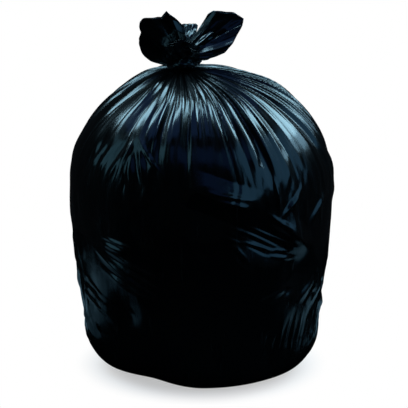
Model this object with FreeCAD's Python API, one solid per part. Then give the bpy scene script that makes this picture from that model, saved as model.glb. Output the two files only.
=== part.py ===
# Refuse sack of thin black film, filled, gathered at the neck and tied in a knot of its own film.
# The sack is one folded piece of film round its contents and can't be seen into, so it is one solid.
# Units are millimetres. +Z is up and the front faces -Y. The origin is the middle of the flat foot.
import FreeCAD
import Part
import math
import os

# Name, value and meaning of each driving dimension.
SIZES = [
    ("body_width", 468.0, "Width of the filled body at its widest, along X"),
    ("body_depth", 440.0, "Depth of the filled body at its widest, along Y"),
    ("foot_width", 284.0, "Width of the flat patch that the sack stands on"),
    ("heel_width", 420.0, "Width of the body where the rounded heel meets the side"),
    ("heel_height", 88.0, "Height over which the foot rounds up into the side"),
    ("belly_height", 345.0, "Height of the widest girth above the floor"),
    ("neck_height", 546.0, "Height at which the film goes into the knot"),
    ("neck_width", 38.0, "Width of the bunched film where it goes into the knot"),
    ("neck_shift", -30.0, "Place of the neck along X, from the middle of the foot"),
    ("gather_depth", 24.0, "Depth of the deepest gathers on the shoulder"),
    ("gather_reach", 380.0, "Length of the longest gathers, down from the knot"),
    ("slump", 4.0, "Height of the soft lumps that the contents push into the film"),
    ("dent_depth", 12.0, "Depth of the hollows where the film sinks between lumps of the contents"),
    ("knot_width", 62.0, "Width over the turn of film that the knot lays round the neck"),
    ("knot_bundle", 11.0, "Radius of the bundle of film in that turn"),
    ("knot_tilt", 5.0, "How much higher that turn lies at one side than in the middle"),
    ("collar_width", 46.0, "Width of the bunched film where it leaves the knot at the top"),
    ("collar_height", 14.0, "Height of that bunch, out of which the flaps part"),
    ("flap_parting", 14.0, "Distance from the middle of the neck at which the flaps part"),
    ("flap_thickness", 4.0, "Thickness of a flap of loosely folded film above the knot"),
    ("flap_flute", 4.0, "Depth of the creases that run up a flap out of the knot"),
    ("flap_cup", 12.0, "How far the side edges of a flap curl forward of its middle"),
    ("long_flap", 98.0, "Length of the flap that stands up to the right"),
    ("broad_flap", 74.0, "Length of the broad flaps that lie over to the left"),
    ("short_flap", 56.0, "Length of the flaps between and behind those"),
    ("front_flap", 42.0, "Length of the short flaps that lie over the knot at the front"),
]

HEEL_ROWS = 4
SIDE_ROWS = 3
DOME_ROWS = 16
KNOT_ROWS = 3
FLAP_ROWS = 5
FLAP_FOLDS = 4

# The neck leans over only near the knot, within this share of the body's width from its middle.
LEAN_SHARE = 0.32

# Gathers, each one a narrow valley with a broad fold after it: heading of the valley at the knot in degrees,
# degrees that it swings round by the end of the longest gathers, share of the depth, share of the reach.
GATHERS = [
    (4, 14, 0.80, 0.85),
    (22, 8, 0.55, 0.60),
    (42, 4, 0.90, 0.90),
    (62, 0, 0.60, 0.60),
    (83, -4, 1.00, 0.95),
    (104, -2, 0.65, 0.60),
    (125, 2, 0.90, 0.85),
    (147, -4, 0.95, 0.90),
    (169, -6, 0.70, 0.60),
    (190, -8, 0.90, 0.75),
    (212, -12, 0.55, 0.60),
    (231, -2, 0.95, 0.80),
    (240, 0, 0.50, 0.55),
    (247, 4, 0.85, 0.85),
    (261, 4, 0.95, 0.90),
    (267, 8, 0.45, 0.60),
    (278, 10, 0.70, 0.55),
    (290, 14, 1.00, 1.00),
    (304, 14, 0.80, 0.90),
    (321, 26, 0.90, 1.00),
    (340, 22, 0.75, 0.90),
]

# Corners of a gather round the film: share of its width from the valley, and share of its depth, inwards.
FOLD = [(0.0, 0.74), (0.22, -0.12), (0.70, -0.26)]

# Soft lumps round the body: waves per turn, share of the slump, phase in radians.
LUMPS = [(2, 0.6, 0.9), (3, 0.4, 2.6), (5, 0.5, 5.1), (7, 0.4, 1.3)]

# Hollows in the side: heading in degrees, height and half-size as shares of the belly height, share of
# the depth. Where that is less than zero the film bulges.
DENTS = [
    (298, 0.86, 0.20, 1.0),
    (318, 0.62, 0.17, 0.8),
    (232, 0.42, 0.18, 1.0),
    (200, 0.60, 0.26, 0.6),
    (272, 0.98, 0.15, 0.6),
    (336, 0.34, 0.17, 0.3),
    (232, 0.00, 0.48, 2.2),
    (336, 0.14, 0.36, -0.5),
    (22, 0.74, 0.22, 0.9),
    (74, 0.48, 0.20, 1.0),
    (118, 0.88, 0.20, 0.9),
    (158, 0.46, 0.20, 0.8),
]

# Flaps of film above the knot. Place is where round the neck a flap parts from it, and heading where it then
# goes: 0 is to the right, 90 to the back and 180 to the left. Lift is where that is up the bunch, as a share
# of its height. Rise is the slope where the flap leaves the neck, and curl is what the slope gains by its tip.
# Roll turns the flap about its own length, and width and tip are shares of its length.
FLAPS = [
    ("low_left_flap", "short_flap", 206, 186, 0.30, 4, 12, -84, 1.00, 0.84),
    ("high_left_flap", "broad_flap", 166, 174, 0.45, 42, 6, -80, 0.66, 0.80),
    ("spike_flap", "broad_flap", 134, 160, 0.65, 74, 4, -80, 0.34, 0.30),
    ("back_left_flap", "short_flap", 108, 124, 0.25, 34, 20, -14, 0.76, 0.70),
    ("middle_flap", "short_flap", 272, 270, 0.55, 80, 8, 0, 0.86, 0.84),
    ("back_right_flap", "short_flap", 54, 42, 0.25, 34, 20, 14, 0.76, 0.70),
    ("right_flap", "long_flap", 4, 2, 0.40, 30, 10, 80, 0.66, 0.72),
    ("front_right_flap", "front_flap", 308, 306, 0.20, 36, 20, 14, 0.80, 0.70),
    ("front_left_flap", "front_flap", 240, 236, 0.20, 36, 20, -14, 0.80, 0.70),
]


def fill_sheet(doc):
    """Puts the driving dimensions in a spreadsheet, one named cell each."""
    sheet = doc.addObject("Spreadsheet::Sheet", "Sizes")
    for row, (alias, value, meaning) in enumerate(SIZES, start=1):
        sheet.set(f"A{row}", alias)
        sheet.set(f"B{row}", str(value))
        sheet.set(f"C{row}", meaning)
        sheet.setAlias(f"B{row}", alias)
    doc.recompute()
    return sheet


def smooth(share):
    """Runs from 0 to 1 with no corner at either end."""
    t = min(1.0, max(0.0, share))
    return t * t * (3 - 2 * t)


def meridian(sheet):
    """Radius and height of each ring of film, from the edge of the foot up to the knot."""
    foot, heel = sheet.foot_width / 2, sheet.heel_width / 2
    belly, neck = sheet.body_width / 2, sheet.neck_width / 2
    rings = []
    for row in range(HEEL_ROWS):
        turn = math.pi / 2 * row / HEEL_ROWS
        rings.append((foot + (heel - foot) * math.sin(turn), sheet.heel_height * (1 - math.cos(turn))))
    for row in range(SIDE_ROWS):
        share = row / SIDE_ROWS
        radius = heel + (belly - heel) * math.sin(share * math.pi / 2)
        rings.append((radius, sheet.heel_height + (sheet.belly_height - sheet.heel_height) * share))
    last = math.acos(neck / belly)
    dome = (sheet.neck_height - sheet.belly_height) / math.sin(last)
    for row in range(DOME_ROWS + 1):
        turn = last * row / DOME_ROWS
        rings.append((belly * math.cos(turn), sheet.belly_height + dome * math.sin(turn)))
    return rings


def lengths_to_knot(rings):
    """Length of film from each ring up to the knot."""
    lengths = [0.0]
    for upper, lower in zip(rings[::-1], rings[-2::-1]):
        lengths.append(lengths[-1] + math.dist(upper, lower))
    return lengths[::-1]


def gather_corners(sheet, length):
    """Angle of each corner round a ring, and how far the gathers draw it in, as a share of their depth."""
    drawn = smooth(length / sheet.gather_reach)
    valleys = []
    for heading, swing, depth, reach in GATHERS:
        fade = 1 - smooth(length / (reach * sheet.gather_reach))
        valleys.append((math.radians(heading + swing * drawn), depth * fade))
    corners = []
    for number, (start, depth) in enumerate(valleys):
        width = (valleys[(number + 1) % len(valleys)][0] - start) % (2 * math.pi)
        for share, part in FOLD:
            corners.append((start + share * width, part * depth))
    return corners


def dent(sheet, angle, height):
    """How far the film sinks in at one place on the side."""
    sunk = 0.0
    for heading, level, size, share in DENTS:
        across = math.remainder(angle - math.radians(heading), 2 * math.pi) * sheet.body_width / 2
        away = math.hypot(across, height - level * sheet.belly_height) / (size * sheet.belly_height)
        sunk += share * (1 - smooth(away))
    return sheet.dent_depth * sunk


def film_ring(sheet, radius, height, length, fold, tilt=0.0):
    """Closed outline of the film at one height, with its pleats, soft lumps and hollows."""
    rise = (height - sheet.belly_height) / (sheet.neck_height - sheet.belly_height)
    shift = sheet.neck_shift * smooth(1 - radius / (LEAN_SHARE * sheet.body_width)) if rise > 0 else 0.0
    flatten = sheet.body_depth / sheet.body_width
    flatten += (1 - flatten) * smooth(rise)
    slump = sheet.slump * smooth(height / sheet.heel_height) * smooth(length / sheet.gather_reach)
    corners = []
    for angle, drawn_in in gather_corners(sheet, length):
        lump = sum(share * math.cos(waves * angle + phase + height / sheet.body_width)
                   for waves, share, phase in LUMPS)
        r = radius + slump * lump - fold * drawn_in - dent(sheet, angle, height)
        x, y = shift + r * math.cos(angle), flatten * r * math.sin(angle)
        corners.append(FreeCAD.Vector(x, y, height + tilt * math.cos(angle)))
    return Part.makePolygon(corners + corners[:1])


def add_loft(doc, name, outlines):
    """Solid skinned with straight creases over closed outlines, each an object of the document."""
    sections = []
    for number, outline in enumerate(outlines):
        section = doc.addObject("Part::Feature", f"{name}_ring_{number:02d}")
        section.Shape = outline
        sections.append(section)
    loft = doc.addObject("Part::Loft", name)
    loft.Sections = sections
    loft.Solid = True
    loft.Ruled = True
    return loft


def add_film_body(doc, sheet):
    """The filled body, its gathered shoulder, the turn of the knot and the bunched film over the knot."""
    rings = meridian(sheet)
    neck = sheet.neck_width / 2
    full = 0.14 * sheet.body_width
    bunched = 0.08 * sheet.gather_depth
    outlines = []
    for (radius, height), length in zip(rings, lengths_to_knot(rings)):
        fold = bunched + (sheet.gather_depth - bunched) * smooth((radius - neck) / (full - neck))
        outlines.append(film_ring(sheet, radius, height, length, fold))
    middle = sheet.neck_height + sheet.knot_bundle
    for row in range(1, KNOT_ROWS):
        turn = math.pi * (row / KNOT_ROWS - 0.5)
        radius = sheet.knot_width / 2 - sheet.knot_bundle * (1 - math.cos(turn))
        height = middle + sheet.knot_bundle * math.sin(turn)
        outlines.append(film_ring(sheet, radius, height, 0.0, bunched, sheet.knot_tilt))
    for rise, width in ((0.0, 1.0), (1.0, 0.7)):
        height = middle + sheet.knot_bundle + rise * sheet.collar_height
        outlines.append(film_ring(sheet, width * sheet.collar_width / 2, height, 0.0, bunched))
    return add_loft(doc, "film_body", outlines)


def flap_outline(sheet, middle, across, facing, half_width, flute, cup):
    """Closed outline of a flap, square to its length: a creased strip whose two sides curl forward."""
    front, back = [], []
    for fold in range(FLAP_FOLDS + 1):
        share = 2 * fold / FLAP_FOLDS - 1
        crease = flute * (1 if fold % 2 else -1)
        out = crease + cup * share * share
        point = middle + across * (half_width * share) + facing * out
        front.append(point + facing * (sheet.flap_thickness / 2))
        back.append(point - facing * (sheet.flap_thickness / 2))
    corners = front + back[::-1]
    return Part.makePolygon(corners + corners[:1])


def add_flap(doc, sheet, name, length, place, heading, lift, rise, curl, roll, width, tip):
    """One flap of film, lofted along a spine that leaves the bunched neck and bends upwards."""
    step = length / FLAP_ROWS
    start, turn, tilt = math.radians(place), math.radians(heading), math.radians(roll)
    outwards = FreeCAD.Vector(math.cos(turn), math.sin(turn), 0)
    side = FreeCAD.Vector(-math.sin(turn), math.cos(turn), 0)
    root = 0.12 * sheet.collar_width
    middle = FreeCAD.Vector(sheet.neck_shift, 0, sheet.neck_height + 2 * sheet.knot_bundle)
    middle += FreeCAD.Vector(math.cos(start), math.sin(start), 0) * sheet.flap_parting
    middle.z += lift * sheet.collar_height
    outlines = []
    for row in range(FLAP_ROWS + 1):
        share = row / FLAP_ROWS
        slope = math.radians(rise + curl * share)
        along = outwards * math.cos(slope) + FreeCAD.Vector(0, 0, math.sin(slope))
        up = along.cross(side)
        across = side * math.cos(tilt) + up * math.sin(tilt)
        facing = up * math.cos(tilt) - side * math.sin(tilt)
        widest = length * width / 2
        half = root + (widest - root) * smooth(share / 0.6)
        half *= 1 - (1 - tip) * smooth((share - 0.6) / 0.4)
        flute = sheet.flap_flute * (0.2 + 0.8 * share)
        cup = sheet.flap_cup * smooth(share / 0.6)
        outlines.append(flap_outline(sheet, middle, across, facing, half, flute, cup))
        middle = middle + along * step
    return add_loft(doc, name, outlines)


def check(doc, part):
    """Stops the build if an object failed, or the sack isn't one valid solid."""
    for item in doc.Objects:
        if {"Invalid", "Error"} & set(item.State):
            raise RuntimeError(f"{item.Name} failed: {item.State}")
    if part.Shape.isNull() or not part.Shape.isValid() or len(part.Shape.Solids) != 1:
        raise RuntimeError(f"{part.Label} isn't one valid solid")


def main():
    doc = FreeCAD.newDocument("refuse_sack")
    sheet = fill_sheet(doc)
    tuft = doc.addObject("Part::MultiFuse", "tuft")
    tuft.Shapes = [
        add_flap(doc, sheet, name, getattr(sheet, length), *form)
        for name, length, *form in FLAPS]
    sack = doc.addObject("Part::Fuse", "sack")
    sack.Label = "tied_refuse_sack"
    sack.Base = add_film_body(doc, sheet)
    sack.Tool = tuft
    doc.recompute()
    check(doc, sack)
    loose = sum(flap.Shape.Volume for flap in tuft.Shapes)
    if sack.Shape.Volume < sack.Base.Shape.Volume + loose / 2:
        raise RuntimeError("a flap of the tuft is missing from the sack")
    os.makedirs("parts", exist_ok=True)
    sack.Shape.exportStep(f"parts/{sack.Label}.step")
    box = sack.Shape.BoundBox
    print(f"{sack.Label}: {len(sack.Shape.Faces)} faces, {sack.Shape.Volume / 1e6:.2f} litres")
    for axis, low, high in (("X", box.XMin, box.XMax), ("Y", box.YMin, box.YMax), ("Z", box.ZMin, box.ZMax)):
        print(f"{axis} {low:.1f} to {high:.1f}")


main()
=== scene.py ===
import bpy
import math
import numpy as np
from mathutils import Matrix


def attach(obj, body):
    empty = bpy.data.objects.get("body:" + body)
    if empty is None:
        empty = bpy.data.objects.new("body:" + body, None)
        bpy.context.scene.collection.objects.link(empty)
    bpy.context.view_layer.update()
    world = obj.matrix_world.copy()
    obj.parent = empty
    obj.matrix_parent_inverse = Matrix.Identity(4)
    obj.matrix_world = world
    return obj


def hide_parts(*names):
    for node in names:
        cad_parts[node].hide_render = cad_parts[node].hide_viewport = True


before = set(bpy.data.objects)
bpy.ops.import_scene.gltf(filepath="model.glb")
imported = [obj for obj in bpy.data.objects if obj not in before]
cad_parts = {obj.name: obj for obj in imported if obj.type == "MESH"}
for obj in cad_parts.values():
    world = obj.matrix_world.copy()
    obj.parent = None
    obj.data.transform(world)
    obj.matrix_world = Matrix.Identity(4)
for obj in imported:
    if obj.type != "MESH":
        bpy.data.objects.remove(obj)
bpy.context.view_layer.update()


# The studio. The sack stands on a plain white floor in front of a white background. Two bright soft boxes
# hang high behind it, one on each side. Weaker ones stand over it, in front and at the sides, where the
# film reflects them dimly, and the rest of the room is dark.

def linear(code):
    """Linear colour, with alpha, of an sRGB hex value."""
    shares = [int(code[at:at + 2], 16) / 255 for at in (1, 3, 5)]
    return [s / 12.92 if s <= 0.04045 else ((s + 0.055) / 1.055) ** 2.4 for s in shares] + [1.0]


def add_node(tree, kind, inputs=None, **settings):
    """Adds one shader node. Each input is a value, or the output that it is linked to."""
    made = tree.nodes.new("ShaderNode" + kind)
    for name, value in settings.items():
        setattr(made, name, value)
    for name, value in (inputs or {}).items():
        if isinstance(value, bpy.types.NodeSocket):
            tree.links.new(value, made.inputs[name])
        else:
            made.inputs[name].default_value = value
    return made


def new_material(name):
    """An empty material and its node tree."""
    material = bpy.data.materials.new(name)
    material.use_nodes = True
    material.node_tree.nodes.clear()
    return material, material.node_tree


# White laminated board: matt, and paper white. It is round and reaches back further than forward. Away from
# the sack the camera sees it as plain white. Near the sack it is partly lit, so it keeps the shadow there.
board_radius, board_back = 0.62, 0.10
white_near, shadow_from, shadow_to = 0.50, 0.14, 0.235
bpy.ops.object.select_all(action="DESELECT")
bpy.ops.mesh.primitive_circle_add(
    vertices=128, radius=board_radius, fill_type="NGON", location=(0, board_back, 0))
bpy.ops.object.transform_apply(location=True)
floor = bpy.context.object
floor.name = "white_floor"
board, tree = new_material("white_board")
place = add_node(tree, "TexCoord").outputs["Object"]
away = add_node(tree, "VectorMath", {"Vector": place}, operation="LENGTH").outputs["Value"]
plain = add_node(tree, "MapRange", {
    "Value": away, "From Min": shadow_from, "From Max": shadow_to, "To Min": white_near},
    interpolation_type="SMOOTHSTEP").outputs["Result"]
camera_ray = add_node(tree, "LightPath").outputs["Is Camera Ray"]
seen_white = add_node(tree, "Math", {0: plain, 1: camera_ray}, operation="MULTIPLY").outputs["Value"]
lit = add_node(tree, "BsdfDiffuse", {"Color": linear("#EEF6F6")})
white = add_node(tree, "Emission", {"Color": linear("#FFFFFF"), "Strength": 1.0})
mixed = add_node(tree, "MixShader", {0: seen_white, 1: lit.outputs[0], 2: white.outputs[0]})
add_node(tree, "OutputMaterial", {"Surface": mixed.outputs[0]})
floor.data.materials.append(board)

# Cards lie on the board, and only the film's gloss sees them: a wide black one, a grey one on it, a black
# one close round the sack and a black one in front. So the film's front and heel stay black, and its sides
# catch a little grey. Name, colour, level, half its width and its length, and its middle right and back.
cards = [
    ("outer_card", "#030303", 0.0004, 0.75, 0.75, 0.0, 0.10),
    ("grey_card", "#6E7E84", 0.0006, 0.54, 0.50, -0.09, 0.02),
    ("round_card", "#030303", 0.0008, 0.33, 0.33, 0.0, 0.0),
    ("front_card", "#030303", 0.0012, 1.10, 0.42, 0.0, -0.54)]
for name, colour, level, across, along, side, back in cards:
    bpy.ops.mesh.primitive_circle_add(vertices=96, radius=1, fill_type="NGON", location=(side, back, level))
    card = bpy.context.object
    card.name = name
    card.scale = (across, along, 1)
    bpy.ops.object.transform_apply(location=True, scale=True)
    card.visible_camera = card.visible_diffuse = card.visible_shadow = False
    paper, tree = new_material(name)
    matt = add_node(tree, "BsdfDiffuse", {"Color": linear(colour)})
    add_node(tree, "OutputMaterial", {"Surface": matt.outputs[0]})
    card.data.materials.append(paper)

# The room is nearly black, but the camera sees it as a white background.
world = bpy.data.worlds.new("studio")
world.use_nodes = True
world.node_tree.nodes.clear()
camera_ray = add_node(world.node_tree, "LightPath").outputs["Is Camera Ray"]
seen = add_node(world.node_tree, "MixRGB", {
    "Fac": camera_ray, "Color1": linear("#101214"), "Color2": linear("#FFFFFF")})
room = add_node(world.node_tree, "Background", {"Color": seen.outputs[0], "Strength": 1.0})
add_node(world.node_tree, "OutputWorld", {"Surface": room.outputs[0]})
bpy.context.scene.world = world

# Soft boxes: name, size across and along, place, point that it faces, power in watts and colour.
soft_boxes = [
    ("left_box", 0.66, 1.14, (-1.16, 0.45, 1.92), (0.0, 0.0, 0.42), 19.5, "#C4EBFF"),
    ("right_box", 0.68, 2.08, (1.10, 0.43, 1.98), (0.05, 0.0, 0.42), 41.0, "#C4EBFF"),
    ("rim_box", 0.68, 0.50, (2.05, 0.79, 1.21), (0.05, 0.0, 0.42), 3.6, "#B8E4FF"),
    ("ceiling", 1.60, 2.20, (-0.85, -0.60, 2.60), (-0.85, -0.60, 0.0), 5.0, "#6C94E8"),
    ("front_box", 2.60, 1.00, (0.1, -2.55, 2.15), (0.0, 0.0, 0.40), 2.2, "#5C84D8"),
    ("left_wall", 1.05, 1.30, (-1.85, -0.63, 1.05), (0.0, 0.0, 0.35), 4.0, "#8CC4DC"),
    ("right_wall", 2.30, 1.70, (1.80, -0.85, 1.20), (0.0, 0.0, 0.45), 12.0, "#74ACD8")]
for name, across, along, place, aim, power, colour in soft_boxes:
    bpy.ops.object.light_add(type="AREA", location=place)
    box = bpy.context.object
    box.name = name
    box.data.shape = "RECTANGLE"
    box.data.size, box.data.size_y = across, along
    box.data.energy = power
    box.data.color = linear(colour)[:3]
    beam = np.array(aim) - np.array(place)
    tilt = math.atan2(math.hypot(beam[0], beam[1]), -beam[2])
    box.rotation_euler = (tilt, 0, math.atan2(beam[1], beam[0]) - math.pi / 2)

# The camera has a long lens and looks down by about 15 degrees.
look_down = math.radians(15.0)
frame_width = 0.730
lens, sensor = 180.0, 36.0
middle = np.array([0.005, 0.0, 0.298])
distance = frame_width * lens / sensor
bpy.ops.object.camera_add(
    location=middle + distance * np.array([0, -math.cos(look_down), math.sin(look_down)]),
    rotation=(math.pi / 2 - look_down, 0, 0))
camera = bpy.context.object
camera.data.lens, camera.data.sensor_width = lens, sensor
bpy.context.scene.camera = camera
bpy.context.scene.view_settings.view_transform = "Standard"


# The film. All of the sack is one piece of black low-density polyethylene, blown as a tube. It is pitch
# black, glossy and slightly cloudy in its gloss, with fine draw lines along it. Its finest crumples are too
# small for the mesh, so they are bump.
black_film, tree = new_material("black_polyethylene_film")
along_film = add_node(tree, "Attribute", attribute_name="film_grain").outputs["Vector"]
streaks = add_node(tree, "TexNoise", {
    "Vector": along_film, "Scale": 160.0, "Detail": 4.0, "Roughness": 0.6}).outputs["Fac"]
place = add_node(tree, "TexCoord").outputs["Object"]
crumple = add_node(tree, "TexNoise", {
    "Vector": place, "Scale": 60.0, "Detail": 2.0, "Roughness": 0.5}).outputs["Fac"]
rough = add_node(tree, "MapRange", {
    "Value": streaks, "From Min": 0.3, "From Max": 0.7, "To Min": 0.10, "To Max": 0.30})
bump = add_node(tree, "Bump", {"Height": streaks, "Strength": 0.35, "Distance": 0.0012})
bump = add_node(tree, "Bump", {
    "Height": crumple, "Strength": 0.12, "Distance": 0.002, "Normal": bump.outputs[0]})
film_gloss = add_node(tree, "BsdfPrincipled", {
    "Base Color": linear("#050607"), "Roughness": rough.outputs[0], "IOR": 1.51, "Specular IOR Level": 0.7,
    "Specular Tint": linear("#DFFAFF"), "Normal": bump.outputs[0]})
add_node(tree, "OutputMaterial", {"Surface": film_gloss.outputs[0]})


def tube_faces(numbers, caps):
    """Faces of a tube whose numbered points lie in rings, with one over each end if it has caps."""
    low, high = numbers[:-1], numbers[1:]
    quads = np.stack([low, np.roll(low, -1, 1), np.roll(high, -1, 1), high], -1).reshape(-1, 4).tolist()
    return quads + [numbers[0, ::-1].tolist(), numbers[-1].tolist()] if caps else quads


def finish_film(name, points, faces, grain, thickness=0.0):
    """Makes a piece of black film from its points and faces, with its normals outwards."""
    mesh = bpy.data.meshes.new(name)
    mesh.from_pydata(points.reshape(-1, 3).tolist(), [], faces)
    mesh.attributes.new("film_grain", "FLOAT_VECTOR", "POINT").data.foreach_set("vector", grain.ravel())
    mesh.validate()
    mesh.materials.append(black_film)
    piece = bpy.data.objects.new(name, mesh)
    bpy.context.collection.objects.link(piece)
    bpy.ops.object.select_all(action="DESELECT")
    piece.select_set(True)
    bpy.context.view_layer.objects.active = piece
    bpy.ops.object.mode_set(mode="EDIT")
    bpy.ops.mesh.select_all(action="SELECT")
    bpy.ops.mesh.normals_make_consistent(inside=False)
    bpy.ops.object.mode_set(mode="OBJECT")
    bpy.ops.object.shade_smooth()
    if thickness:
        wall = piece.modifiers.new("wall", "SOLIDIFY")
        wall.thickness, wall.offset = thickness, 0
        bpy.ops.object.modifier_apply(modifier=wall.name)
    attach(piece, "root")
    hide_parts("tied_refuse_sack")
    return piece


# The filled sack. The tube of film is sealed across the foot, stuffed with loose waste and drawn together
# at the top. It is far too wide for the neck, so it lies there in gathers. The waste holds it round below.

def smooth(share):
    """Runs from 0 to 1 with no corner at either end."""
    t = np.clip(share, 0.0, 1.0)
    return t * t * (3 - 2 * t)


body_width, body_depth = 0.468, 0.440
foot_width, heel_width, heel_height = 0.284, 0.420, 0.088
belly_height, neck_height, neck_width = 0.345, 0.546, 0.038
neck_shift, knot_bundle = -0.030, 0.011
columns, rows, foot_rows, first_ring = 720, 340, 8, 0.004

# The meridian is a flat foot, a quarter ellipse at the heel, an easy flare up the side and a quarter
# ellipse to the neck. Over the neck the bunched film runs on into the knot.
foot_steps, side_steps, dome_steps = 59, 200, 400
turn = np.linspace(0, math.pi / 2, side_steps)
flare = np.linspace(0, 1, side_steps)
last = math.acos(neck_width / body_width)
dome = np.linspace(0, last, dome_steps)
bundle_radii, bundle_levels = [0.016, 0.016, 0.020, 0.012], np.array([0.5, 1.5, 2.2, 3.0])
radius = np.concatenate([
    np.linspace(0.0, foot_width / 2, foot_steps + 1)[:-1],
    foot_width / 2 + (heel_width - foot_width) / 2 * np.sin(turn),
    heel_width / 2 + (body_width - heel_width) / 2 * np.sin(flare[1:] * math.pi / 2),
    body_width / 2 * np.cos(dome[1:]),
    bundle_radii])
height = np.concatenate([
    np.zeros(foot_steps),
    heel_height * (1 - np.cos(turn)),
    heel_height + (belly_height - heel_height) * flare[1:],
    belly_height + (neck_height - belly_height) * np.sin(dome[1:]) / math.sin(last),
    neck_height + bundle_levels * knot_bundle])

# Rings of points lie evenly along the meridian, apart from a few in the foot that are wide apart. Each
# point also has a heading, which is 0 on the right and 270 degrees at the front.
run = np.concatenate([[0], np.cumsum(np.hypot(np.diff(radius), np.diff(height)))])
foot_run = foot_width / 2
row_run = np.concatenate([
    np.linspace(first_ring, foot_run, foot_rows + 1)[:-1],
    np.linspace(foot_run, run[-1], rows - foot_rows)])
ring_radius = np.interp(row_run, run, radius)[:, None]
ring_height = np.interp(row_run, run, height)[:, None]
to_knot = (np.interp(neck_height, height, run) - row_run)[:, None]
heading = (2 * math.pi * np.arange(columns) / columns)[None, :]

# The big gathers, each a narrow valley with a broad fold after it: heading of the valley at the knot, the
# degrees that it swings round by the end of the longest gathers, share of the depth and share of the reach.
gather_depth, gather_reach = 0.024, 0.380
gathers = [
    (4, 14, 0.80, 0.85), (22, 8, 0.55, 0.60), (42, 4, 0.90, 0.90), (62, 0, 0.60, 0.60),
    (83, -4, 1.00, 0.95), (104, -2, 0.65, 0.60), (125, 2, 0.90, 0.85), (147, -4, 0.95, 0.90),
    (169, -6, 0.70, 0.60), (190, -8, 0.90, 0.75), (212, -12, 0.55, 0.60), (231, -2, 0.95, 0.80),
    (240, 0, 0.50, 0.55), (247, 4, 0.85, 0.85), (261, 4, 0.95, 0.90), (267, 8, 0.45, 0.60),
    (278, 10, 0.70, 0.55), (290, 14, 1.00, 1.00), (304, 14, 0.80, 0.90), (321, 26, 0.90, 1.00),
    (340, 22, 0.75, 0.90)]

# The form between two valleys: share of the way from one to the next, and how far in it lies, as a share of
# the depth.
fold_corners = [(0.0, 0.74), (0.22, -0.12), (0.70, -0.26)]
drawn_in, knot_heading = np.zeros((rows, columns)), np.zeros((rows, columns))
for row in range(rows):
    swung = smooth(to_knot[row, 0] / gather_reach)
    starts = np.radians([towards + swing * swung for towards, swing, _, _ in gathers])
    knots = np.radians([towards for towards, _, _, _ in gathers])
    depths = np.array([
        depth * (1 - smooth(to_knot[row, 0] / (reach * gather_reach))) for _, _, depth, reach in gathers])
    widths = (np.roll(starts, -1) - starts) % (2 * math.pi)
    corner_at = np.concatenate([starts + share * widths for share, _ in fold_corners])
    corner_in = np.concatenate([depths * part for _, part in fold_corners])
    drawn_in[row] = np.interp(heading[0], corner_at, corner_in, period=2 * math.pi)
    here = np.concatenate([starts - 2 * math.pi, starts, starts + 2 * math.pi])
    there = np.concatenate([knots - 2 * math.pi, knots, knots + 2 * math.pi])
    knot_heading[row] = np.interp(heading[0], here, there)

# The gathers have their full depth from this radius outwards, and at the neck they are pressed together.
bunched, spread_radius = 0.08 * gather_depth, 0.14 * body_width
spread = smooth((ring_radius - neck_width / 2) / (spread_radius - neck_width / 2))
fold = bunched + (gather_depth - bunched) * spread

# The contents push soft lumps into the film: waves round the sack, share of the height and phase. Between
# them it sinks in: heading in degrees, level and size as shares of the belly's height, and share of the
# depth.
lump_height, dent_depth = 0.004, 0.012
lumps = [(2, 0.6, 0.9), (3, 0.4, 2.6), (5, 0.5, 5.1), (7, 0.4, 1.3)]
dents = [
    (298, 0.86, 0.20, 1.0), (318, 0.62, 0.17, 0.8), (232, 0.42, 0.18, 1.0), (200, 0.60, 0.26, 0.6),
    (272, 0.98, 0.15, 0.6), (336, 0.34, 0.17, 0.3), (232, 0.00, 0.48, 2.2), (336, 0.14, 0.36, -0.5),
    (22, 0.74, 0.22, 0.9), (74, 0.48, 0.20, 1.0), (118, 0.88, 0.20, 0.9), (158, 0.46, 0.20, 0.8)]
lump = lump_height * smooth(ring_height / heel_height) * smooth(to_knot / gather_reach)
swell = sum(
    share * np.cos(waves * heading + phase + ring_height / body_width) for waves, share, phase in lumps)
sunk = 0 * heading
for towards, level, size, share in dents:
    across = (heading - math.radians(towards) + math.pi) % (2 * math.pi) - math.pi
    away = np.hypot(across * body_width / 2, ring_height - level * belly_height) / (size * belly_height)
    sunk = sunk + share * (1 - smooth(away))
in_side = smooth(ring_radius / (foot_width / 2))
out = ring_radius + lump * swell - fold * drawn_in - dent_depth * sunk * in_side

# The sack is less deep than it is wide, it gets round towards the neck, and its neck leans to the left.
lean_radius = 0.32 * body_width
lean = neck_shift * smooth(1 - ring_radius / lean_radius) * (ring_height > belly_height)
flatten = body_depth / body_width
flatten = flatten + (1 - flatten) * smooth((ring_height - belly_height) / (neck_height - belly_height))
film = np.stack([
    lean + out * np.cos(heading),
    flatten * out * np.sin(heading),
    ring_height + 0 * heading], axis=-1)

# Between the big gathers lie smaller ones. Each family is a ring of uneven folds with sharp creases. Some
# of them hardly show, and none is deeper than a share of its own width. On the left shoulder the film is
# drawn tight, and they are nearly flat there.
chance = np.random.RandomState(7)
hidden_share, deepest = 0.15, 0.36
calm_heading, calm_half, calm_edge, calm_share = 216, 14, 24, 0.8
calm = 1 - smooth((np.abs(np.degrees(heading) - calm_heading) - calm_half) / calm_edge)


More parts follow.
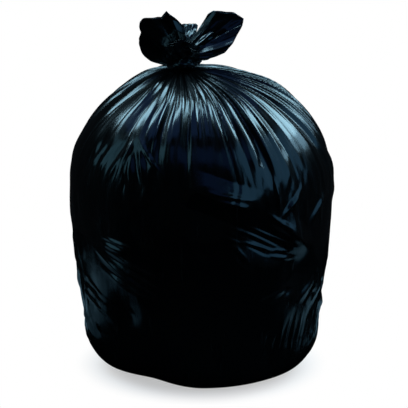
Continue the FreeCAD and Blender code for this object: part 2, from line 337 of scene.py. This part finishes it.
def gather_family(count, depth, reach, spread, part, wander):
    """Height over the smooth sack of one family of gathers: how many there are at the neck, how deep they
    get, how far down they reach, how much that differs, which part of them shows and how far they wander.
    Each fold rises from a valley to a crest, breaks at a bend and falls to the next valley."""
    place = np.cumsum(0.45 + chance.rand(count))
    place = place / place[-1]
    sway = sum(chance.uniform(-1, 1) * np.sin(k * heading + chance.uniform(0, 6.3)) for k in (2, 3, 5))
    at = (knot_heading / (2 * math.pi) + wander * sway * smooth(to_knot / reach)) % 1.0
    fold = np.searchsorted(place, at, side="right") % count
    after = (fold + 1) % count
    start = np.where(fold == 0, 0.0, place[fold - 1])
    share = (at - start) / (place[fold] - start)
    crest = chance.uniform(0.16, 0.42, count)
    bend = chance.uniform(0.55, 0.85, count)
    crest_height, bend_height = chance.uniform(0.5, 1.0, count), chance.uniform(0.1, 0.7, count)
    valley = -chance.uniform(0.3, 1.0, count)
    reach_of = reach * (1 - spread * chance.rand(count))
    strength = hidden_share + (1 - hidden_share) * (chance.rand(count) < part)
    fade = (1 - smooth(to_knot / reach_of[fold])) * strength[fold]
    next_fade = (1 - smooth(to_knot / reach_of[after])) * strength[after]
    corners = [(0 * share, valley[fold] * fade), (crest[fold], crest_height[fold] * fade),
               (bend[fold], bend_height[fold] * fade), (0 * share + 1, valley[after] * next_fade)]
    raised = 0 * share
    for (left, low), (right, high) in zip(corners, corners[1:]):
        inside = (share >= left) & (share <= right)
        raised = np.where(inside, low + (high - low) * (share - left) / (right - left), raised)
    width = 2 * math.pi * ring_radius / count
    return raised * np.minimum(depth, deepest * width) * (1 - calm_share * calm)


lift = gather_family(53, 0.0052, 0.40, 0.6, 0.85, 0.006)
lift = lift + gather_family(109, 0.0022, 0.34, 0.6, 0.75, 0.004)

# Creases. Film that is pressed from inside breaks into straight ridges with flat facets between them. The
# film slopes, so a step up counts a little more along it. Each bed has a range of heading, range of height,
# slant from upright, length, width, depth, and how many.
film_slope = 1.15
crease_beds = [
    ((0, 360), (0.05, 0.46), (-40, 40), (0.05, 0.14), (0.010, 0.022), 0.0014, 220),
    ((200, 340), (0.30, 0.44), (-16, 16), (0.05, 0.12), (0.006, 0.012), 0.0012, 100),
    ((0, 360), (0.02, 0.20), (-70, 70), (0.04, 0.10), (0.012, 0.024), 0.0018, 160)]


def crease(raised, towards, level, slant, length, width, depth):
    """Adds one straight ridge or groove that runs out to nothing at both ends."""
    across = ((heading - towards + math.pi) % (2 * math.pi) - math.pi) * ring_radius
    up = (ring_height - level) * film_slope
    along = up * math.cos(slant) + across * math.sin(slant)
    beside = across * math.cos(slant) - up * math.sin(slant)
    ridge = np.clip(1 - np.abs(beside) / width, 0, 1) * (1 - smooth(np.abs(along) * 2 / length))
    return raised + depth * ridge


def scatter_creases(raised, beds, drawn):
    """Adds the creases of some beds, each drawn at random within its bed's ranges."""
    for headings, levels, slants, lengths, widths, depth, count in beds:
        for _ in range(count):
            raised = crease(
                raised, math.radians(drawn.uniform(*headings)), drawn.uniform(*levels),
                math.radians(drawn.uniform(*slants)), drawn.uniform(*lengths), drawn.uniform(*widths),
                depth * drawn.uniform(-1.0, 1.0))
    return raised


lift = scatter_creases(lift, crease_beds, chance)

# The larger creases on the front come in bundles that lie side by side: heading and height of both ends of
# the middle one, half its width, its depth, how many, and how wide the bundle is. The first six fan out
# over the left shoulder, the next eleven are the folds right of the middle, and the rest lie lower down.
crease_bundles = [
    (232, 0.455, 224, 0.385, 0.0080, 0.0034, 2, 0.020), (233, 0.455, 230, 0.375, 0.0085, 0.0036, 2, 0.018),
    (234, 0.455, 237, 0.372, 0.0085, 0.0036, 2, 0.016), (236, 0.455, 244, 0.380, 0.0080, 0.0036, 2, 0.020),
    (237, 0.455, 250, 0.402, 0.0070, 0.0030, 2, 0.018), (219, 0.440, 214, 0.390, 0.0070, 0.0030, 4, 0.040),
    (264, 0.384, 300, 0.335, 0.0320, 0.0110, 1, 0.000), (297, 0.345, 319, 0.262, 0.0340, 0.0120, 1, 0.000),
    (301, 0.400, 305, 0.330, 0.0100, 0.0050, 1, 0.000), (320, 0.375, 306, 0.325, 0.0100, 0.0050, 1, 0.000),
    (311, 0.385, 308, 0.335, 0.0080, -0.0040, 1, 0.000), (338, 0.345, 318, 0.285, 0.0100, 0.0050, 1, 0.000),
    (284, 0.312, 309, 0.266, 0.0048, 0.0030, 8, 0.052), (297, 0.325, 312, 0.285, 0.0048, 0.0026, 4, 0.026),
    (284, 0.276, 290, 0.245, 0.0070, 0.0034, 2, 0.012), (272, 0.372, 290, 0.350, 0.0050, 0.0024, 4, 0.030),
    (299, 0.260, 316, 0.250, 0.0060, 0.0026, 3, 0.024), (295, 0.170, 316, 0.190, 0.0070, 0.0024, 2, 0.020),
    (221, 0.246, 250, 0.190, 0.0058, 0.0038, 7, 0.055), (222, 0.275, 236, 0.262, 0.0070, 0.0030, 3, 0.020),
    (196, 0.172, 220, 0.150, 0.0065, 0.0032, 5, 0.050), (193, 0.210, 201, 0.090, 0.0090, 0.0034, 3, 0.036),
    (302, 0.050, 305, 0.120, 0.0055, 0.0034, 5, 0.044), (315, 0.050, 321, 0.125, 0.0060, 0.0036, 6, 0.050),
    (330, 0.055, 339, 0.130, 0.0060, 0.0038, 6, 0.050), (324, 0.150, 338, 0.200, 0.0090, 0.0030, 2, 0.034)]
for first, low, second, high, width, depth, count, spread in crease_bundles:
    girth = np.interp((low + high) / 2, height, radius)
    sideways, upwards = math.radians(second - first) * girth, (high - low) * film_slope
    length = math.hypot(sideways, upwards)
    for number in range(count):
        aside = spread * ((number + 0.5) / count - 0.5 + chance.uniform(-0.3, 0.3) / count)
        slide = length * chance.uniform(-0.15, 0.15)
        towards = math.radians((first + second) / 2) + (aside * upwards + slide * sideways) / length / girth
        level = (low + high) / 2 + (slide * upwards - aside * sideways) / length / film_slope
        lift = crease(
            lift, towards, level, math.atan2(sideways, upwards) + chance.uniform(-0.12, 0.12),
            length * chance.uniform(1.0, 1.6), width * chance.uniform(0.7, 1.3),
            depth * chance.uniform(0.6, 1.2) * (1 if number % 2 == 0 else -0.6))

# The sides and the back, which lie away from the camera, are creased more evenly.
back_beds = [
    ((-20, 200), (0.06, 0.24), (-60, 60), (0.07, 0.18), (0.008, 0.018), 0.0036, 110),
    ((-10, 190), (0.22, 0.40), (-35, 35), (0.07, 0.16), (0.008, 0.016), 0.0030, 70)]
lift = scatter_creases(lift, back_beds, np.random.RandomState(11))

# Each point moves square to the smooth sack, apart from the foot, which the floor holds flat.
pressed_height = 0.025
around = np.roll(film, -1, axis=1) - np.roll(film, 1, axis=1)
upward = np.gradient(film, axis=0)
facing = np.cross(around, upward)
facing /= np.linalg.norm(facing, axis=-1, keepdims=True)
film = film + facing * (lift * smooth(ring_height / pressed_height))[..., None]
film[..., 2] = np.maximum(film[..., 2], 0.0)

# The grain gives the film's draw lines: it changes quickly round the sack and slowly along the film.
grain_round, grain_along = 0.15, 0.06
grain = np.stack([
    grain_round * np.cos(knot_heading), grain_round * np.sin(knot_heading),
    grain_along * row_run[:, None] + 0 * heading], axis=-1)
numbers = np.arange(rows * columns).reshape(rows, columns)
sack_body = finish_film("sack_body", film, tube_faces(numbers, caps=True), grain)


# The knot. The drawn-up film is tied in a knot of itself: one turn lies round the neck, and a second strand
# crosses it at the front. Both are bunched film, with folds that run along them.

def add_strand(name, path, closed, thick, folds, twist):
    """A bundle of bunched film along a path, with sharp folds along its length."""
    steps, sides = len(path), 84
    groove, end_share, slow_wave, quick_wave, grain_ahead = 0.24, 0.08, 0.10, 0.06, 0.01
    # Three directions at each step: along the path, beside it and above it.
    ahead = np.roll(path, -1, 0) - np.roll(path, 1, 0)
    if not closed:
        ahead[0], ahead[-1] = path[1] - path[0], path[-1] - path[-2]
    ahead /= np.linalg.norm(ahead, axis=1, keepdims=True)
    beside = np.cross(ahead, [0, 0, 1.0])
    beside /= np.linalg.norm(beside, axis=1, keepdims=True)
    above = np.cross(beside, ahead)
    # The folds wind round the strand. It gets thinner at free ends and is a little uneven along its way.
    angle = 2 * math.pi * np.arange(sides)[None, :] / sides
    along = np.linspace(0, 1, steps)[:, None]
    fold_at = folds * (angle / (2 * math.pi) + twist * along)
    depth = chance.uniform(0.3, 1.0, folds)[np.floor(fold_at).astype(int) % folds]
    puffed = 1 - groove * depth * np.abs(1 - 2 * (fold_at % 1.0)) ** 0.8
    from_end = end_share + (1 - 2 * end_share) * along
    taper = 1.0 if closed else np.clip(np.sin(math.pi * from_end), 0, 1) ** 0.5
    slow, quick = np.sin(2 * math.pi * (2 * along + 0.3)), np.sin(2 * math.pi * (5 * along + 0.1))
    uneven = 1 + slow_wave * slow + quick_wave * quick
    size = (thick * puffed * taper * uneven)[..., None]
    round_it = np.cos(angle)[..., None] * beside[:, None] + np.sin(angle)[..., None] * above[:, None]
    numbers = np.arange(steps * sides).reshape(steps, sides)
    rings = np.concatenate([numbers, numbers[:1]]) if closed else numbers
    grain = np.stack([
        thick * np.cos(angle) + 0 * along, thick * np.sin(angle) + 0 * along,
        grain_ahead * along + 0 * angle], -1)
    return finish_film(name, path[:, None] + size * round_it, tube_faces(rings, caps=not closed), grain)


knot_width, turn_tilt = 0.062, 0.005
knot_middle = np.array([neck_shift, 0.0, neck_height + knot_bundle])
knot_reach = knot_width / 2 - knot_bundle
way_round = np.linspace(0, 2 * math.pi, 120, endpoint=False)
turn_path = knot_middle + np.stack([
    knot_reach * np.cos(way_round), knot_reach * np.sin(way_round), turn_tilt * np.cos(way_round)], -1)
add_strand("knot_turn", turn_path, True, knot_bundle, 9, 2)

# The crossing strand bows out to the front and rises to the right.
cross_half, cross_front, cross_bow = 0.026, -0.030, 0.020
cross_level, cross_rise, cross_bundle = 0.004, 0.011, 0.0085
way_over = np.linspace(-1, 1, 80)
cross_path = knot_middle + np.stack([
    cross_half * way_over, cross_front + cross_bow * way_over ** 2,
    cross_level + cross_rise * way_over], -1)
add_strand("knot_crossing", cross_path, False, cross_bundle, 8, 1)


# The tuft. Over the knot the mouth of the sack stands out loose in folded leaves. Each leaf is a flattened,
# ruffled part of the tube of film, so it has two plies, a fold down each side and a raw edge round its rim.
tuft_root = np.array([neck_shift, 0.0, neck_height + 2 * knot_bundle])
film_thickness, root_width = 0.0005, 0.011
wrinkle, cross_fold = 0.0008, 0.0020
edge_wave, edge_nick = 0.012, 0.006
grain_across, grain_ply = 0.08, 0.01


def add_leaf(name, turn, lean, start, rim, ruffles, ruffle_depth, puff, crest, mouth, narrow):
    """One leaf of film, in a plane that is turned about the neck and leans to the front. Its rim gives its
    length in several directions, in degrees from the right. Crest is where across it the puff is highest,
    mouth is the share of the puff that is left at the rim, and narrow is how much narrower it starts."""
    columns, rows = 168, 48
    # Share runs across the leaf and back on its other ply, and t runs from the root to the rim.
    share = 1 - np.abs(2 * np.arange(columns) / columns - 1)[None, :]
    ply = np.where(np.arange(columns) < columns / 2, 1.0, -0.5)[None, :]
    t = np.linspace(0, 1, rows)[:, None]
    # The plane of the leaf.
    round_up, over = math.radians(turn), math.radians(lean)
    right = np.array([math.cos(round_up), math.sin(round_up), 0.0])
    front = np.array([math.sin(round_up), -math.cos(round_up), 0.0])
    up = front * math.sin(over) + np.array([0, 0, math.cos(over)])
    facing = front * math.cos(over) - np.array([0, 0, math.sin(over)])
    # The rim, with a slightly uneven edge.
    angles, lengths = np.radians([a for a, _ in rim]), [length for _, length in rim]
    angle = angles[0] + (angles[-1] - angles[0]) * share
    length = np.interp(angle, angles, lengths)
    length = length * (1 + edge_wave * np.sin(11 * angle + 2 * ply) + edge_nick * np.sin(29 * angle + turn))
    # What lies off the plane: ruffles that open to the rim, fine wrinkles, a few cross folds and the puff.
    widths = chance.uniform(0.6, 1.4, ruffles)
    turns = np.concatenate([[0], np.cumsum(widths)]) / widths.sum()
    peaks = chance.uniform(0.5, 1.0, ruffles + 1) * np.where(np.arange(ruffles + 1) % 2, 1, -1)
    ruffle = np.interp(share + 0.03 * np.sin(3.1 * t + turn), turns, peaks) * ruffle_depth * t ** 0.8
    fine = wrinkle * np.sin(31 * share + 4 * t + lean) * np.sin(7 * share - 9 * t) * t
    cross = cross_fold * np.abs(((2.3 * t + 0.8 * share + lean / 50) % 1.0) * 2 - 1) * smooth(t * 2)
    swell = np.sin(math.pi * share ** (math.log(0.5) / math.log(crest)))
    fullness = np.interp(t, [0, 0.2, 0.5, 0.8, 1], [0.3, 0.75, 1, 0.6 + 0.4 * mouth, mouth])
    off = ruffle + fine + cross + ply * puff * np.clip(swell, 0, 1) ** 0.7 * fullness
    # The place of each point in the plane.
    reach = length * t
    angle = angle - narrow * (1 - t) * (angle - (angles[0] + angles[-1]) / 2)
    at_root = root_width * (1 - 2 * share) * (1 - t) * math.copysign(1, angles[-1] - angles[0])
    beside = reach * np.cos(angle) + at_root
    points = tuft_root + np.array(start) + right * beside[..., None]
    points = points + up * (reach * np.sin(angle))[..., None] + facing * off[..., None]
    numbers = np.arange(rows * columns).reshape(rows, columns)
    grain = np.stack([grain_across * share + 0 * t, grain_ply * ply + 0 * t, grain_along * reach], -1)
    return finish_film(name, points, tube_faces(numbers, caps=False), grain, film_thickness)


# Each leaf has its turn, lean, start and rim, then ruffles, their depth, puff, crest, mouth and narrow. The
# left leaf is broad, with a spike of its edge at the top, and the right front one is a long open pouch.
left_rim = [
    (90, 0.0672), (94.5, 0.0747), (97.5, 0.0810), (100.5, 0.0868), (105, 0.0956), (107, 0.1034),
    (110, 0.0990), (114.5, 0.0928), (123.5, 0.1025), (129.5, 0.1101), (134, 0.1105), (138, 0.1039),
    (142, 0.0938), (149.5, 0.0904), (155.5, 0.0859), (162.5, 0.0774), (169, 0.0702), (174.5, 0.0600),
    (181, 0.0460), (191.5, 0.0301)]
right_rim = [
    (12, 0.080), (18.7, 0.094), (24, 0.105), (28.5, 0.115), (32, 0.122), (36, 0.119), (41, 0.1135),
    (46, 0.106), (52, 0.099), (57, 0.094), (60, 0.084)]
pouch_rim = [
    (-14, 0.032), (-2, 0.0455), (3, 0.0595), (6.5, 0.072), (12.6, 0.0825), (19, 0.0945), (24.4, 0.1055),
    (29, 0.116)]
inner_rim = [(18, 0.053), (32, 0.060), (45, 0.069), (54, 0.055)]
middle_rim = [
    (58, 0.040), (62, 0.044), (64.5, 0.050), (66, 0.059), (71, 0.061), (79, 0.060), (85, 0.058),
    (90, 0.054), (96, 0.046)]
front_left_rim = [(64, 0.044), (84, 0.056), (110, 0.060), (134, 0.054), (160, 0.040)]
front_right_rim = [(12, 0.026), (36, 0.040), (62, 0.048), (88, 0.048), (106, 0.040)]
back_left_rim = [(30, 0.052), (56, 0.062), (84, 0.060), (104, 0.048)]
back_right_rim = [(76, 0.047), (98, 0.058), (124, 0.054), (150, 0.046)]
add_leaf("left_leaf", 0, 14, (0, -0.002, -0.012), left_rim, 6, 0.0030, 0.012, 0.62, 0.3, 0.0)
add_leaf("right_back_leaf", 0, 0, (0, 0.004, 0), right_rim, 4, 0.0040, 0.006, 0.5, 0.3, 0.3)
add_leaf("right_front_leaf", 0, 0, (0, -0.002, 0), pouch_rim, 5, 0.0030, 0.020, 0.40, 0.9, 0.0)
add_leaf("right_inner_leaf", 0, -14, (0, -0.008, 0), inner_rim, 5, 0.0050, 0.008, 0.5, 0.6, 0.1)
add_leaf("middle_leaf", 0, -34, (0, 0.004, 0), middle_rim, 4, 0.0035, 0.008, 0.5, 0.5, 0.1)
add_leaf("front_left_leaf", 10, 44, (0, -0.010, -0.006), front_left_rim, 5, 0.0035, 0.008, 0.5, 0.3, 0.0)
add_leaf("front_right_leaf", -14, 46, (0, -0.012, -0.008), front_right_rim, 5, 0.0035, 0.008, 0.5, 0.3, 0.0)
add_leaf("back_left_leaf", 160, 34, (0, 0.012, -0.004), back_left_rim, 6, 0.0060, 0.012, 0.5, 0.4, 0.0)
add_leaf("back_right_leaf", 200, 34, (0, 0.012, -0.004), back_right_rim, 6, 0.0060, 0.012, 0.5, 0.4, 0.0)
